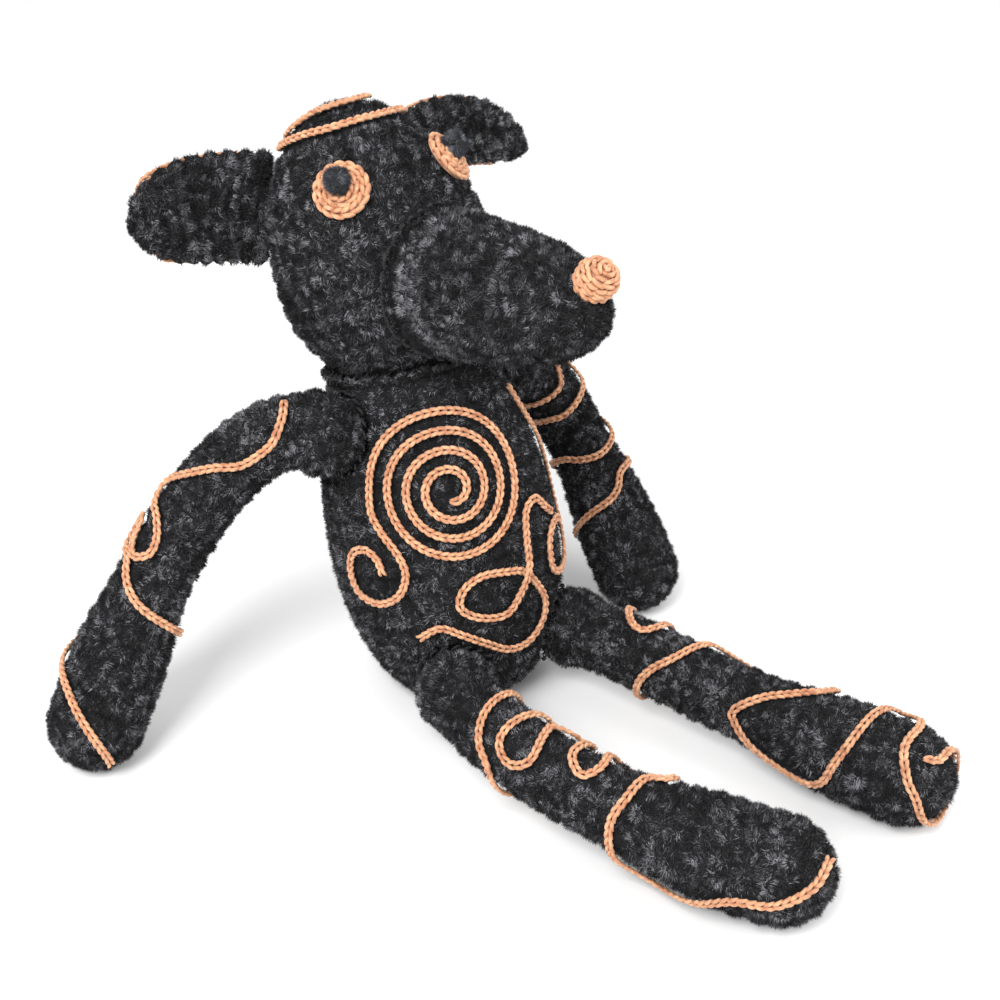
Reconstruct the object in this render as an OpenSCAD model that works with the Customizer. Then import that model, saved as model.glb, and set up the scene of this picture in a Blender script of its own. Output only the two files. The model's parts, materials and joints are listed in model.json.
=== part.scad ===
// Crocheted dog soft toy, sitting with its back leaned and its arms propped.
// Every stuffed piece is a fabric shell round its own stuffing, and the light
// crochet chains are sewn on top. The floor is z = 0, the dog faces -Y, and
// the origin is where the body's leaning centre line meets the floor.

/* [Body] */
// Length of the egg shape that the body is cut from
body_len = 144.5; // [132:0.5:175]
// Widest radius of the body
body_r = 39.5; // [33:0.5:48]
// How far the sitting face is pressed into the egg's tip
seat_sink = 2.6; // [1.5:0.1:4]
// Angle that the body leans back
body_lean = 16; // [8:1:22]
// Distance of the head's ball centre beyond the length of the egg
neck_over = 5.1; // [3:0.1:8]

/* [Head] */
// Radius of the head's lower, round half
head_r = 36; // [32:0.5:40]
// Height of the head's upper, pointed half
crown_h = 56; // [48:0.5:66]
// Angle that the head's own axis leans back
head_lean = 27; // [20:1:32]

/* [Snout] */
// Length of the snout along its axis
snout_len = 69.5; // [58:0.5:82]
// Radius of the snout where it meets the head
snout_base_r = 23.8; // [20:0.2:26]
// Radius that the snout tapers towards at its tip
snout_tip_r = 16.2; // [13:0.2:19]
// Angle that the snout points up
snout_rise = 8; // [5:0.5:11]
// Distance of the snout's base in front of the ball centre
snout_forward = 28; // [25:0.5:31]
// Distance of the snout's base below the ball centre
snout_drop = 8.4; // [6:0.2:9]
// Radius of the nose ball
nose_r = 6; // [4.5:0.25:7.5]

/* [Eyes] */
// Radius of each eye disc
eye_r = 9.5; // [7:0.25:11]
// Thickness of each eye disc
eye_t = 2.6; // [1.8:0.1:3.4]
// Radius of each fluffy pupil
pupil_r = 4.5; // [3:0.25:5.5]
// Height of the right eye above the ball centre, along the head's axis
right_eye_h = 26.5; // [25:0.5:31]
// Height of the left eye above the ball centre, along the head's axis
left_eye_h = 27.5; // [25:0.5:31]
// Angle of the right eye round the head from the front
right_eye_az = 44; // [36:0.5:50]
// Angle of the left eye round the head from the front
left_eye_az = 32; // [28:0.5:44]

/* [Ears] */
// Length of the right ear from its root to its tip
right_ear_len = 46; // [40:1:58]
// Length of the left ear from its root to its tip
left_ear_len = 63; // [50:1:70]
// Width of the right ear at its root
right_ear_w = 37; // [28:1:38]
// Width of the left ear at its root
left_ear_w = 27; // [22:1:32]
// Thickness of each ear
ear_t = 6.4; // [5:0.2:8]
// Height of the right ear's root above the ball centre, along the head's axis
right_ear_h = 30.5; // [25:0.5:31]
// Height of the left ear's root above the ball centre, along the head's axis
left_ear_h = 33; // [27:0.5:33]
// Angle of the right ear's root round the head from the front
right_ear_az = 135; // [126:1:138]
// Angle of the left ear's root round the head from the front
left_ear_az = 114; // [110:1:124]

/* [Arms] */
// Radius of each arm
arm_r = 12; // [10:0.25:12.6]
// Radius of each hand
hand_r = 15.8; // [13:0.25:19]
// Height of the shoulders along the egg shape, as a share of its length
shoulder_at = 0.7384; // [0.68:0.0004:0.76]

/* [Legs] */
// Radius of each leg
leg_r = 12; // [10:0.25:12.6]
// Radius of each foot
foot_r = 16.2; // [13:0.25:19]
// Height of the hips along the egg shape, as a share of its length
hip_at = 0.1384; // [0.125:0.0004:0.18]
// Angle of each hip round the body from the front
hip_az = 44; // [40:1:50]

/* [Limb roots] */
// Radius of the ball at the root of each arm and leg
root_r = 14; // [13.2:0.1:15]
// Distance of each root's pivot outside the body's surface
root_out = 7; // [6:0.25:8]

/* [Yarn] */
// Thickness of the crocheted fabric
fabric_t = 4; // [3:0.1:5]
// Free space between a fabric shell and its stuffing
fill_gap = 0.2; // [0.1:0.05:0.5]
// Radius of the yarn that sews two pieces together
seam_r = 1; // [0.7:0.1:1.2]
// Free space between pieces that move against each other
seam_gap = 0.35; // [0.3:0.05:0.6]
// Radius of the neck's sewing yarn
neck_seam_r = 1.6; // [1.3:0.1:2]
// Radius of the crochet chain
chain_r = 1.5; // [1.1:0.1:1.8]
// Free space between a chain or disc and the fabric it is sewn on
chain_gap = 0.3; // [0.25:0.05:0.5]

/* [Hidden] */
$fn = 64;

charcoal = [0.13, 0.13, 0.14];
caramel = [0.82, 0.56, 0.36];
filling = [0.93, 0.92, 0.88];
right = -1;
left = 1;

// How low the body's widest part sits, and how blunt its two ends are
body_low = 0.78;
body_blunt = 0.42;
// Where the snout's taper turns into its round end, and how square that end is
snout_round_from = 0.46;
snout_blunt = 2.6;
// Where a limb starts and stops widening into its hand or foot
paw_from = 0.55;
paw_over = 0.33;

// Sides of a limb, of a chain and of an ear's edge
limb_sides = 16;
chain_sides = 6;
ear_sides = 14;

// ---- directions -------------------------------------------------------------

function unit(v) = v / norm(v);
side_x = [1, 0, 0];
body_up = [0, sin(body_lean), cos(body_lean)];
body_front = [0, -cos(body_lean), sin(body_lean)];
head_up = [0, sin(head_lean), cos(head_lean)];
head_front = [0, -cos(head_lean), sin(head_lean)];
snout_dir = [0, -cos(snout_rise), sin(snout_rise)];
snout_up = [0, sin(snout_rise), cos(snout_rise)];

// ---- the body's surface -----------------------------------------------------

// Radius of an egg of radius r and length len, at a distance s from its tip
function egg_radius(s, r, len) =
    r * pow(sin(180 * pow(min(max(s / len, 0.00001), 0.99999), body_low)), body_blunt);
function body_slope(s) =
    (egg_radius(s + 0.1, body_r, body_len) - egg_radius(s - 0.1, body_r, body_len)) / 0.2;
function body_radial(az) = side_x * sin(az) + body_front * cos(az);
function body_normal(s, az) = unit(body_radial(az) - body_slope(s) * body_up);
// Point of the body at height s and angle az, moved out by off
function body_point(s, az, off = 0) =
    body_up * (s - seat_sink) + body_radial(az) * egg_radius(s, body_r, body_len)
    + body_normal(s, az) * off;

neck_height = body_len + neck_over;
ball = body_up * neck_height;
neck_cup_r = head_r + 2 * neck_seam_r + 2 * seam_gap;
root_cup_r = root_r + 2 * seam_r + 2 * seam_gap;

// Angle at which the neck's cup runs out at the body's surface
function cup_rim(b = 20) =
    egg_radius(neck_height + seat_sink - neck_cup_r * cos(b), body_r, body_len)
    > neck_cup_r * sin(b) && b < 80 ? cup_rim(b + 0.5) : b;

// ---- the head's surface -----------------------------------------------------

function head_radius(h, r = head_r, crown = crown_h) =
    h < 0 ? sqrt(max(r * r - h * h, 0)) : r * sqrt(max(1 - pow(h / crown, 2), 0));
function head_radial(az) = side_x * sin(az) + head_front * cos(az);
function head_normal(h, az) =
    unit(head_radial(az) * head_radius(h) / pow(head_r, 2)
         + head_up * h / pow(h > 0 ? crown_h : head_r, 2));
function head_point(h, az, off = 0) =
    ball + head_up * h + head_radial(az) * head_radius(h) + head_normal(h, az) * off;
function in_head(p) =
    let (q = p - ball, h = q * head_up)
    h < crown_h && norm(q - head_up * h) < head_radius(h);

// ---- the snout's surface ----------------------------------------------------

snout_base = ball + head_front * snout_forward - head_up * snout_drop;
function snout_radius(x, less = 0) =
    let (t = min(max(x / (snout_len - less), 0), 1),
         e = min(max((t - snout_round_from) / (1 - snout_round_from), 0), 1))
    (snout_base_r - less + (snout_tip_r - snout_base_r) * t)
    * sqrt(max(1 - pow(e, snout_blunt), 0));
function snout_radial(az) = side_x * sin(az) + snout_up * cos(az);
function snout_point(x, az) = snout_base + snout_dir * x + snout_radial(az) * snout_radius(x);
// Distance along the snout at which its surface comes out of the head
function snout_exit(az, x = 0) = in_head(snout_point(x, az)) ? snout_exit(az, x + 0.25) : x;

// ---- limbs ------------------------------------------------------------------

// Point and direction of a four-point curve
function curve_at(p, t) =
    pow(1 - t, 3) * p[0] + 3 * t * pow(1 - t, 2) * p[1] + 3 * t * t * (1 - t) * p[2]
    + pow(t, 3) * p[3];
function curve_dir(p, t) =
    unit(pow(1 - t, 2) * (p[1] - p[0]) + 2 * t * (1 - t) * (p[2] - p[1]) + t * t * (p[3] - p[2]));

// Stations along a curve, each [distance, centre, direction, top, side]
steps = 30;
function stations(p, i = 0, d = 0, top = [0, 0, 1]) =
    let (u = curve_dir(p, i / steps), c = curve_at(p, i / steps),
         a = unit(top - u * (top * u)),
         e = i == 0 ? 0 : d + norm(c - curve_at(p, (i - 1) / steps)))
    concat([[e, c, u, a, cross(u, a)]], i < steps ? stations(p, i + 1, e, a) : []);

// Number of the station before a distance x
function span(st, x, i = 0) = i + 2 < len(st) && st[i + 1][0] < x ? span(st, x, i + 1) : i;
// The station at a distance x, carried straight on past both ends
function station(st, x) =
    let (n = len(st) - 1, c = min(max(x, 0), st[n][0]), i = span(st, c),
         f = (c - st[i][0]) / (st[i + 1][0] - st[i][0]),
         m = [for (k = [1:4]) st[i][k] * (1 - f) + st[i + 1][k] * f])
    [m[0] + m[1] * (x - c), unit(m[1]), unit(m[2]), unit(m[3])];

shoulder_az = 90;
shoulder_s = body_len * shoulder_at;
hip_s = body_len * hip_at;
function shoulder(side) = body_point(shoulder_s, side * shoulder_az, root_out);
function hip(side) = body_point(hip_s, side * hip_az, root_out);
// The hands and feet stand on the floor through their pile
pile = 0.8;
right_arm_line = [shoulder(right), shoulder(right) + [-13.5, 13.5, 6.5],
                  [-77, 58, 85.5], [-120.5, 50.5, hand_r]];
left_arm_line = [shoulder(left), shoulder(left) + [38, 19, -15],
                 [94, 43, 48], [77, -6, hand_r]];
right_leg_line = [hip(right), hip(right) + [-13, -26, 7],
                  [-36, -90, 21], [-7, -142, foot_r + pile]];
left_leg_line = [hip(left), hip(left) + [3, -26, 5],
                 [40, -90, 18], [54, -142, foot_r + pile]];

// Radius of a limb at a distance x from its pivot: ball, tube, then paw
function limb_radius(x, length, r, paw_r, less = 0) =
    let (rb = root_r - less, rt = r - less, rp = paw_r - less,
         f = min(max((x / length - paw_from) / paw_over, 0), 1))
    x > length ? sqrt(max(rp * rp - pow(x - length, 2), 0))
    : x < sqrt(rb * rb - rt * rt) ? sqrt(max(rb * rb - x * x, 0))
    : rt + (rp - rt) * f * f * (3 - 2 * f);

// Point on a limb's surface at a distance x and an angle, moved out by off
function limb_point(st, r, paw_r, x, angle, off) =
    let (s = station(st, x), rad = limb_radius(x, st[steps][0], r, paw_r, -off))
    s[0] + (s[2] * cos(angle) + s[3] * sin(angle)) * rad;

// Distances of the rings that a limb is lofted through
function limb_rings(length, r, paw_r, less) =
    let (rb = root_r - less, rp = paw_r - less, x0 = sqrt(rb * rb - pow(r - less, 2)),
         n = round((length - x0) / 8))
    concat([for (a = [25, 50, 75, 100]) -rb * cos(a)],
           [for (i = [0:n]) x0 + (length - x0) * i / n],
           [for (a = [20, 40, 60, 76]) length + rp * sin(a)]);

// ---- swept meshes -----------------------------------------------------------

// A closed mesh through rings of equal count, closed by a point at each end
module loft(rings, first, last) {
    n = len(rings[0]);
    m = len(rings);
    points = concat([first], [for (r = rings) each r], [last]);
    polyhedron(points, concat(
        [for (j = [0:n - 1]) [0, 1 + j, 1 + (j + 1) % n]],
        [for (i = [0:m - 2]) for (j = [0:n - 1]) each
            let (a = 1 + i * n + j, b = 1 + i * n + (j + 1) % n)
            [[a, a + n, b], [b, a + n, b + n]]],
        [for (j = [0:n - 1]) [1 + m * n, 1 + (m - 1) * n + (j + 1) % n, 1 + (m - 1) * n + j]]));
}

module limb_form(line, r, paw_r, less) {
    st = stations(line);
    length = st[steps][0];
    loft([for (x = limb_rings(length, r, paw_r, less))
              let (s = station(st, x), rad = limb_radius(x, length, r, paw_r, less))
              [for (j = [0:limb_sides - 1])
                  s[0] + (s[2] * cos(360 * j / limb_sides)
                          + s[3] * sin(360 * j / limb_sides)) * rad]],
         station(st, less - root_r)[0], station(st, length + paw_r - less)[0]);
}

// A round yarn of radius r along a list of points
module yarn(pts, r) {
    n = len(pts) - 1;
    dirs = [for (k = [0:n]) unit(pts[min(k + 1, n)] - pts[max(k - 1, 0)])];
    tops = carried(dirs);
    loft([for (k = [0:n]) let (a = tops[k], b = cross(dirs[k], a))
              [for (j = [0:chain_sides - 1])
                  pts[k] + (a * cos(360 * j / chain_sides) + b * sin(360 * j / chain_sides)) * r]],
         pts[0] - dirs[0] * r * 0.5, pts[n] + dirs[n] * r * 0.5);
}
// Tops carried along a list of directions without twist
function carried(dirs, i = 0, top = [0.3, 0.2, 0.93]) =
    let (a = unit(top - dirs[i] * (top * dirs[i])))
    concat([a], i + 1 < len(dirs) ? carried(dirs, i + 1, a) : []);

// A smooth path through way points: two steps or more between each two, and
// never more than a given change of their second number in a step
function smooth(w, turn = 1000) =
    let (n = len(w) - 1)
    concat([for (i = [0:n - 1])
                let (a = w[max(i - 1, 0)], b = w[i], c = w[i + 1], d = w[min(i + 2, n)],
                     k = max(2, ceil(abs(c[1] - b[1]) / turn)))
                for (j = [0:k - 1]) let (t = j / k)
                0.5 * (2 * b + (c - a) * t + (2 * a - 5 * b + 4 * c - d) * t * t
                       + (3 * b - a - 3 * c + d) * pow(t, 3))], [w[n]]);

// ---- forms cut from the surfaces --------------------------------------------

module along(lean, at) {
    translate(at) rotate([lean, 0, 0]) children();
}

module body_form(less) {
    rings = 30;
    r = body_r - less;
    length = body_len - 2 * less;
    difference() {
        along(-body_lean, body_up * (less - seat_sink)) rotate_extrude()
            polygon([for (i = [0:rings]) let (s = length * (1 - cos(180 * i / rings)) / 2)
                         [i == 0 || i == rings ? 0 : egg_radius(s, r, length), s]]);
        translate(ball) sphere(neck_cup_r + less);
        for (side = [right, left]) {
            translate(shoulder(side)) sphere(root_cup_r + less);
            translate(hip(side)) sphere(root_cup_r + less);
        }
        below = 60;
        wide = 4 * body_r;
        translate([-wide / 2, -wide / 2, less - below]) cube([wide, wide, below]);
    }
}

module head_form(less) {
    r = head_r - less;
    crown = crown_h - less;
    along(-head_lean, ball) rotate_extrude()
        polygon(concat([for (a = [-90:7.5:0]) [a == -90 ? 0 : r * cos(a), r * sin(a)]],
                       [for (a = [7.5:7.5:90]) [a == 90 ? 0 : r * cos(a), crown * sin(a)]]));
}

module snout_form(less, back = 8) {
    rings = 24;
    length = snout_len - less;
    along(90 - snout_rise, snout_base) rotate_extrude()
        polygon(concat([[0, -back], [snout_radius(0, less), -back]],
                       [for (i = [0:rings]) let (x = length * sin(90 * i / rings))
                            [i == rings ? 0 : snout_radius(x, less), x]]));
}

// ---- body -------------------------------------------------------------------

module torso_skin() {
    color(charcoal) difference() {
        body_form(0);
        body_form(fabric_t);
    }
}

module torso_stuffing() {
    color(filling) body_form(fabric_t + fill_gap);
}

sewn = chain_r + chain_gap;

// Where the belly's spiral is centred: height along the egg and angle
spiral_s = body_len * 0.595;
spiral_az = -27;
// Growth of the spiral in each turn, and its first and last angle
spiral_pitch = 5.95;
spiral_start = 250;
spiral_end = 1610;
spiral_tail = [[-27, -3], [-25, -10], [-21, -18], [-20, -25], [-24, -32], [-32, -35],
               [-40, -32], [-42, -25], [-39, -18], [-33, -16], [-29, -19], [-28, -24]];
// Where the belly's scroll is centred, and its way points: across, up, lift
scroll_s = body_len * 0.422 - 11;
scroll_az = -10;
scroll_way = [[29, 14, 0], [24, 18, 0], [19, 23, 0], [13, 21, 0], [10, 12, 0.2], [7, 3, 1],
              [3.5, -5, 0.2], [-2, -10, 0], [-11, -8, 0], [-16.5, -3, 0], [-14.5, 3, 0],
              [-8, 6, 0], [1, 4.5, 0], [7, 2, 0], [12, -5, 0], [15, -12, 0], [13, -19, 0],
              [6, -24, 0], [-2, -23.5, 0], [-10, -18, 0], [-17, -13, 0], [-24, -9, 0],
              [-31, -12, 0]];
side_way = [[58, 44], [61, 36], [60, 27], [55, 21.5], [47, 22], [43.5, 30], [44, 42],
            [50, 54], [60, 62], [72, 62], [86, 54], [97, 42], [108, 36]];
side_way_len = 144.5;

// Point of a chain on the body, across and up from a centre, lifted over itself
function on_body(s, az, p) =
    body_point(s + p[1], az + p[0] / egg_radius(s + p[1], body_r, body_len) * 180 / PI,
               sewn + (len(p) > 2 ? p[2] * (2 * chain_r + chain_gap) : 0));

module belly_spiral_chain() {
    turns = [for (a = [spiral_start:16:spiral_end])
                let (r = spiral_pitch * a / 360 - 0.8) [r * cos(a), r * sin(a)]];
    color(caramel) yarn([for (p = concat(turns, smooth(spiral_tail)))
                            on_body(spiral_s, spiral_az, p)], chain_r);
}

module belly_scroll_chain() {
    color(caramel) yarn([for (p = smooth(scroll_way)) on_body(scroll_s, scroll_az, p)], chain_r);
}

module side_chain() {
    color(caramel) yarn([for (p = smooth(side_way)) body_point(p[0] * body_len / side_way_len, p[1], sewn)],
                         chain_r);
}

// ---- neck and head ----------------------------------------------------------

module neck_seam() {
    reach = head_r + seam_gap + neck_seam_r;
    at = min(cup_rim(), 42);
    color(charcoal) along(-body_lean, ball) translate([0, 0, -reach * cos(at)])
        rotate_extrude() translate([reach * sin(at), 0]) circle(neck_seam_r, $fn = 24);
}

module head_skin() {
    color(charcoal) difference() {
        head_form(0);
        head_form(fabric_t);
    }
}

module head_stuffing() {
    color(filling) head_form(fabric_t + fill_gap);
}

// The crown's chain winds once round the head and ends inside its own turn
crown_way = [[46, -230], [47, -160], [46.8, -115], [46.4, -71], [45.5, -42], [45.5, -17],
             [45.5, 2], [46.5, 60], [47.8, 120], [48.8, 180], [50, 245], [51, 269],
             [52.3, 294], [52.5, 320], [52.6, 360], [53.4, 410]];
module head_chain() {
    color(caramel) yarn([for (p = smooth(crown_way, 22)) head_point(p[0], p[1], sewn)], chain_r);
}

// ---- snout and nose ---------------------------------------------------------

module snout_skin() {
    color(charcoal) difference() {
        snout_form(0);
        snout_form(fabric_t, 12);
        head_form(-chain_gap);
    }
}

module snout_stuffing() {
    color(filling) difference() {
        snout_form(fabric_t + fill_gap);
        head_form(-chain_gap);
    }
}

// The snout's seam lies in the crease between the snout and the head
snout_seam_r = 1.3;
function crease(az) =
    let (x = snout_exit(az), p = snout_point(x, az), q = p - ball, h = q * head_up,
         n = snout_radial(az),
         m = unit((q - head_up * h) / pow(head_r, 2)
                  + head_up * h / pow(h > 0 ? crown_h : head_r, 2)))
    p + (n + m) * (snout_seam_r + chain_gap) / (1 + n * m);
module snout_seam() {
    color(charcoal) yarn([for (az = [-150:15:150]) crease(az)], snout_seam_r);
}

// The nose ball is sewn on top of the snout's round end
nose_from_end = 1.3;
nose_lift = 11.2;
nose_at = snout_base + snout_dir * (snout_len - nose_from_end) + snout_up * nose_lift;
nose_t = 2;
module nose_cover() {
    color(caramel) difference() {
        translate(nose_at) sphere(nose_r);
        translate(nose_at) sphere(nose_r - nose_t);
        snout_form(-chain_gap);
    }
}

module nose_stuffing() {
    color(filling) difference() {
        translate(nose_at) sphere(nose_r - nose_t - fill_gap);
        snout_form(-chain_gap - fill_gap);
    }
}

// ---- eyes -------------------------------------------------------------------

// Turns +Z to a direction
module towards(dir) {
    rotate([0, acos(dir[2]), atan2(dir[1], dir[0])]) children();
}

function eye_h(side) = side == right ? right_eye_h : left_eye_h;
function eye_turn(side) = side * (side == right ? right_eye_az : left_eye_az);
module eye_disc(side) {
    color(caramel) difference() {
        intersection() {
            translate(head_point(eye_h(side), eye_turn(side)))
                towards(head_normal(eye_h(side), eye_turn(side)))
                cylinder(h = 40, r = eye_r, center = true);
            head_form(-chain_gap - eye_t);
        }
        head_form(-chain_gap);
    }
}

// How far the pupil sits above the disc's centre
pupil_up = 1.5;
module pupil(side) {
    color(charcoal) difference() {
        translate(head_point(eye_h(side) + pupil_up, eye_turn(side), eye_t + pupil_r * 0.45))
            sphere(pupil_r);
        head_form(-2 * chain_gap - eye_t);
    }
}
module right_eye_disc() { eye_disc(right); }
module left_eye_disc() { eye_disc(left); }
module right_pupil() { pupil(right); }
module left_pupil() { pupil(left); }

// ---- ears -------------------------------------------------------------------

// How far each ear's root lifts above level, and how far the ear then droops
right_ear_lift = -17;
right_ear_droop = 23;
left_ear_lift = -17;
left_ear_droop = 62;
ear_root_gap = 0.5;
ear_taper = 0.25;

function ear_len(side) = side == right ? right_ear_len : left_ear_len;
function ear_w(side) = side == right ? right_ear_w : left_ear_w;
function ear_droop(side) = side == right ? right_ear_droop : left_ear_droop;
// A point of the head at a height and an angle from the ear's root
function by_ear(side, up, behind, out = 0) =
    side == right ? head_point(right_ear_h + up, -right_ear_az - behind, out)
    : head_point(left_ear_h + up, left_ear_az + behind, out);
function ear_root(side) = by_ear(side, 0, 0, ear_root_gap + ear_t / 2);
// Direction of the root line, up the head
function ear_line(side) = unit(by_ear(side, 0.5, 0) - by_ear(side, -0.5, 0));
function ear_out(side) =
    let (w = ear_line(side), e = side == right ? right_ear_lift : left_ear_lift,
         v = [side * cos(e), 0, sin(e)])
    unit(v - w * (v * w));
function ear_back(side) = -side * cross(ear_out(side), ear_line(side));

// Frame of an ear at a distance x: [centre, width direction]
function ear_frame(side, x) =
    let (b = ear_droop(side), k = ear_len(side) / (b * PI / 180), a = b * max(x, 0) / ear_len(side),
         u = ear_out(side), w = ear_line(side))
    [ear_root(side) + (u * sin(a) - w * (1 - cos(a))) * k + u * min(x, 0),
     w * cos(a) + u * sin(a)];

// Half width and half thickness of an ear at a distance x
function ear_half(side, x) =
    let (t = min(max(x / ear_len(side), 0), 1), e = max(t - 0.5, 0) / 0.5)
    ear_w(side) / 2 * (1 - ear_taper * t * t) * sqrt(max(1 - pow(e, 2.6), 0));
function ear_depth(side, x) =
    x < 0 ? sqrt(max(pow(ear_t / 2, 2) - x * x, 0))
    : ear_t / 2 * min(1, sqrt(max(ear_len(side) - x, 0) / 4));

// Distances of the rings that an ear is lofted through
function ear_rings(side) =
    concat([for (a = [30, 60]) -ear_t / 2 * cos(a)],
           [for (t = [0:0.095:0.86]) ear_len(side) * t],
           [for (t = [0.9, 0.94, 0.975, 0.993]) ear_len(side) * t]);

module ear(side) {
    color(charcoal) loft([for (x = ear_rings(side)) let (f = ear_frame(side, x))
                              [for (j = [0:ear_sides - 1])
                                  let (a = -side * 360 * j / ear_sides, c = cos(a), s = sin(a))
                                  f[0] + f[1] * sign(c) * pow(abs(c), 0.7) * ear_half(side, x)
                                  + ear_back(side) * s * ear_depth(side, x)]],
                         ear_frame(side, -ear_t / 2)[0], ear_frame(side, ear_len(side))[0]);
}

// The chain follows the ear's edge on its back
module ear_chain(side) {
    edge = 0.93;
    path = concat([for (t = [0.08:0.09:0.8]) [t, edge]],
                  [[0.87, 0.55], [0.9, 0.2], [0.9, -0.2], [0.87, -0.55]],
                  [for (t = [0.8:-0.09:0.08]) [t, -edge]]);
    color(caramel) yarn([for (p = path)
                            let (x = ear_len(side) * p[0], f = ear_frame(side, x),
                                 across = p[1] * ear_half(side, min(x, ear_len(side) * 0.86)),
                                 rise = ear_t / 2 * sqrt(1 - pow(abs(p[1]), 2.86)) + sewn)
                            f[0] + f[1] * across + ear_back(side) * rise], chain_r);
}

// The ear's sewing yarn runs along the head behind the root
module ear_seam(side) {
    behind = 9;
    reach = ear_w(side) * 0.4;
    color(charcoal) yarn([for (h = [-reach:reach / 4:reach])
                              by_ear(side, h, behind, seam_r + chain_gap)], seam_r);
}
module right_ear() { ear(right); }
module left_ear() { ear(left); }
module right_ear_chain() { ear_chain(right); }
module left_ear_chain() { ear_chain(left); }
module right_ear_seam() { ear_seam(right); }
module left_ear_seam() { ear_seam(left); }

// ---- arms and legs ----------------------------------------------------------

module limb_skin(line, r, paw_r) {
    color(charcoal) difference() {
        limb_form(line, r, paw_r, 0);
        limb_form(line, r, paw_r, fabric_t);
    }
}

module limb_stuffing(line, r, paw_r) {
    color(filling) limb_form(line, r, paw_r, fabric_t + fill_gap);
}

// A chain wound round a limb; its way points are distance and angle
module limb_chain(line, r, paw_r, way) {
    st = stations(line);
    color(caramel) yarn([for (p = smooth(way, 22)) limb_point(st, r, paw_r, p[0], p[1], sewn)],
                        chain_r);
}

// The sewing yarn of a limb lies round its root ball, in the body's dent
module root_seam(at, normal) {
    reach = root_r + seam_gap + seam_r;
    polar = 60;
    color(charcoal) translate(at) towards(normal) translate([0, 0, -reach * cos(polar)])
        rotate_extrude() translate([reach * sin(polar), 0]) circle(seam_r, $fn = 24);
}

right_arm_way = [[9, -10], [10, -45], [15, -74], [26, -78], [34, -54], [41, -30], [47, -4],
                 [51, 2], [55, -12], [57, -30], [62, -48], [68, -51], [71.5, -30], [68, -12],
                 [62, -4], [61, 10], [66, 16], [71, 4], [73, -18], [79, -39], [84, -69],
                 [87.5, -114], [91, -160], [96, -220], [104, -290], [112, -350],
                 [117.5, -387], [123, -411], [129, -435], [138, -471]];
left_arm_way = [[10, 0], [16, 50], [24, 81], [30, 100], [29.5, 123], [28, 147], [28, 190],
                [32, 250], [38, 320], [43, 370], [47, 402], [47, 456], [47.5, 492],
                [46, 516], [48, 560], [56, 620], [64, 690], [70, 750], [74, 789],
                [77, 831], [75, 864], [72, 888], [73, 930], [78, 990], [83, 1060],
                [85, 1120], [88, 1170], [95, 1190], [99, 1209], [101, 1242], [104, 1290]];
right_leg_way = [[23, -80], [26, -27], [29, 27], [33, 63], [38, 87], [41, 130], [42, 180],
                 [42, 230], [41, 290], [39.5, 324], [38, 384], [39.5, 411], [45, 423],
                 [50, 402], [47.5, 354], [47, 338], [51, 318], [55, 296], [59, 300],
                 [59, 321], [59, 366], [65, 387], [68.5, 363], [67, 318], [70, 288],
                 [80, 284], [88, 310], [88, 336], [82, 351], [80, 387], [78.5, 429],
                 [83, 490], [93, 505], [104, 484], [112, 460], [117, 450], [127, 441],
                 [136, 414], [138.5, 372]];
left_leg_way = [[129, 27], [133, 17], [134, -10], [135, -60], [136, -130], [136, -210],
                [132, -279], [127, -306], [123, -336], [124, -369], [122, -395],
                [117, -410], [113, -395], [110, -363], [107.5, -321], [105, -291],
                [103, -266], [98, -250], [88, -246], [78, -254], [71, -278], [69, -297],
                [76, -330], [84, -351], [92, -375], [94, -402], [88, -430], [76, -440],
                [62, -430], [54, -414], [51, -399], [45, -336], [38, -294], [35, -260],
                [34, -200], [33, -150], [33, -90], [33, -45], [33, -12], [30, 12],
                [25, 9], [20, -18], [18, -50]];

module right_arm_skin() { limb_skin(right_arm_line, arm_r, hand_r); }
module left_arm_skin() { limb_skin(left_arm_line, arm_r, hand_r); }
module right_arm_stuffing() { limb_stuffing(right_arm_line, arm_r, hand_r); }
module left_arm_stuffing() { limb_stuffing(left_arm_line, arm_r, hand_r); }
module right_arm_chain() { limb_chain(right_arm_line, arm_r, hand_r, right_arm_way); }
module left_arm_chain() { limb_chain(left_arm_line, arm_r, hand_r, left_arm_way); }
module right_leg_skin() { limb_skin(right_leg_line, leg_r, foot_r); }
module left_leg_skin() { limb_skin(left_leg_line, leg_r, foot_r); }
module right_leg_stuffing() { limb_stuffing(right_leg_line, leg_r, foot_r); }
module left_leg_stuffing() { limb_stuffing(left_leg_line, leg_r, foot_r); }
module right_leg_chain() { limb_chain(right_leg_line, leg_r, foot_r, right_leg_way); }
module left_leg_chain() { limb_chain(left_leg_line, leg_r, foot_r, left_leg_way); }
module right_shoulder_seam() { root_seam(shoulder(right), body_normal(shoulder_s, -shoulder_az)); }
module left_shoulder_seam() { root_seam(shoulder(left), body_normal(shoulder_s, shoulder_az)); }
module right_hip_seam() { root_seam(hip(right), body_normal(hip_s, -hip_az)); }
module left_hip_seam() { root_seam(hip(left), body_normal(hip_s, hip_az)); }

torso_skin();
torso_stuffing();
belly_spiral_chain();
belly_scroll_chain();
side_chain();
neck_seam();
head_skin();
head_stuffing();
head_chain();
snout_skin();
snout_stuffing();
snout_seam();
nose_cover();
nose_stuffing();
right_eye_disc();
left_eye_disc();
right_pupil();
left_pupil();
right_ear();
left_ear();
right_ear_seam();
left_ear_seam();
right_ear_chain();
left_ear_chain();
right_arm_skin();
left_arm_skin();
right_arm_stuffing();
left_arm_stuffing();
right_arm_chain();
left_arm_chain();
right_shoulder_seam();
left_shoulder_seam();
right_leg_skin();
left_leg_skin();
right_leg_stuffing();
left_leg_stuffing();
right_leg_chain();
left_leg_chain();
right_hip_seam();
left_hip_seam();
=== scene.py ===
import json
import math

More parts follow.
